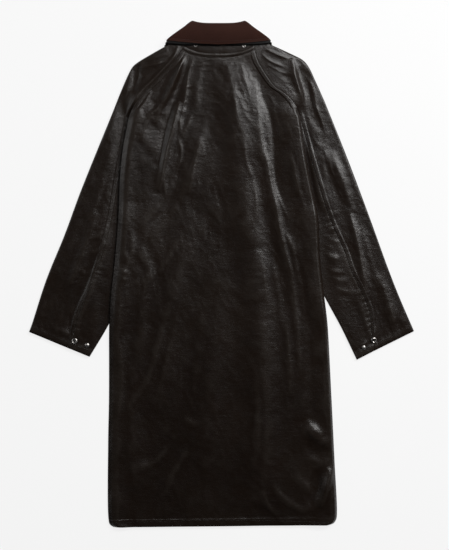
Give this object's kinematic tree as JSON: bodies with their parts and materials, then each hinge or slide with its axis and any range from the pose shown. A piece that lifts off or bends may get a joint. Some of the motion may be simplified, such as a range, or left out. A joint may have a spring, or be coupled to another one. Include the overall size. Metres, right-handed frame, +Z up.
{
  "type": "waxed cotton coat",
  "caption": "Long waxed cotton coat with raglan sleeves and a folded corduroy collar, laid flat with its back up, with press studs at the cuffs and under the collar.",
  "frame": {"origin": "middle of the coat's outline, on the surface it lies on", "axes": "+X to the viewer's right, across the coat; +Y along the coat, from the hem to the collar; +Z up, out of the coat's back"},
  "size_m": [0.926, 1.215, 0.0285],
  "materials": {
    "waxed_cotton": "waxed, dark brown-black, soft sheen",
    "corduroy": "fine needlecord, dark red-brown, matt",
    "studs": "nickel plated, slightly worn"
  },
  "bodies": {
    "root": {"back_panel": "waxed_cotton", "front_left": "waxed_cotton", "front_right": "waxed_cotton", "sleeve_left_top": "waxed_cotton", "sleeve_left_under": "waxed_cotton", "sleeve_right_top": "waxed_cotton", "sleeve_right_under": "waxed_cotton", "collar_upper": "corduroy", "collar_under": "waxed_cotton", "hood_stud_left": "studs", "hood_stud_right": "studs", "cuff_ring_left": "studs", "cuff_stud_left": "studs", "cuff_ring_right": "studs", "cuff_stud_right": "studs"}
  },
  "joints": []
}
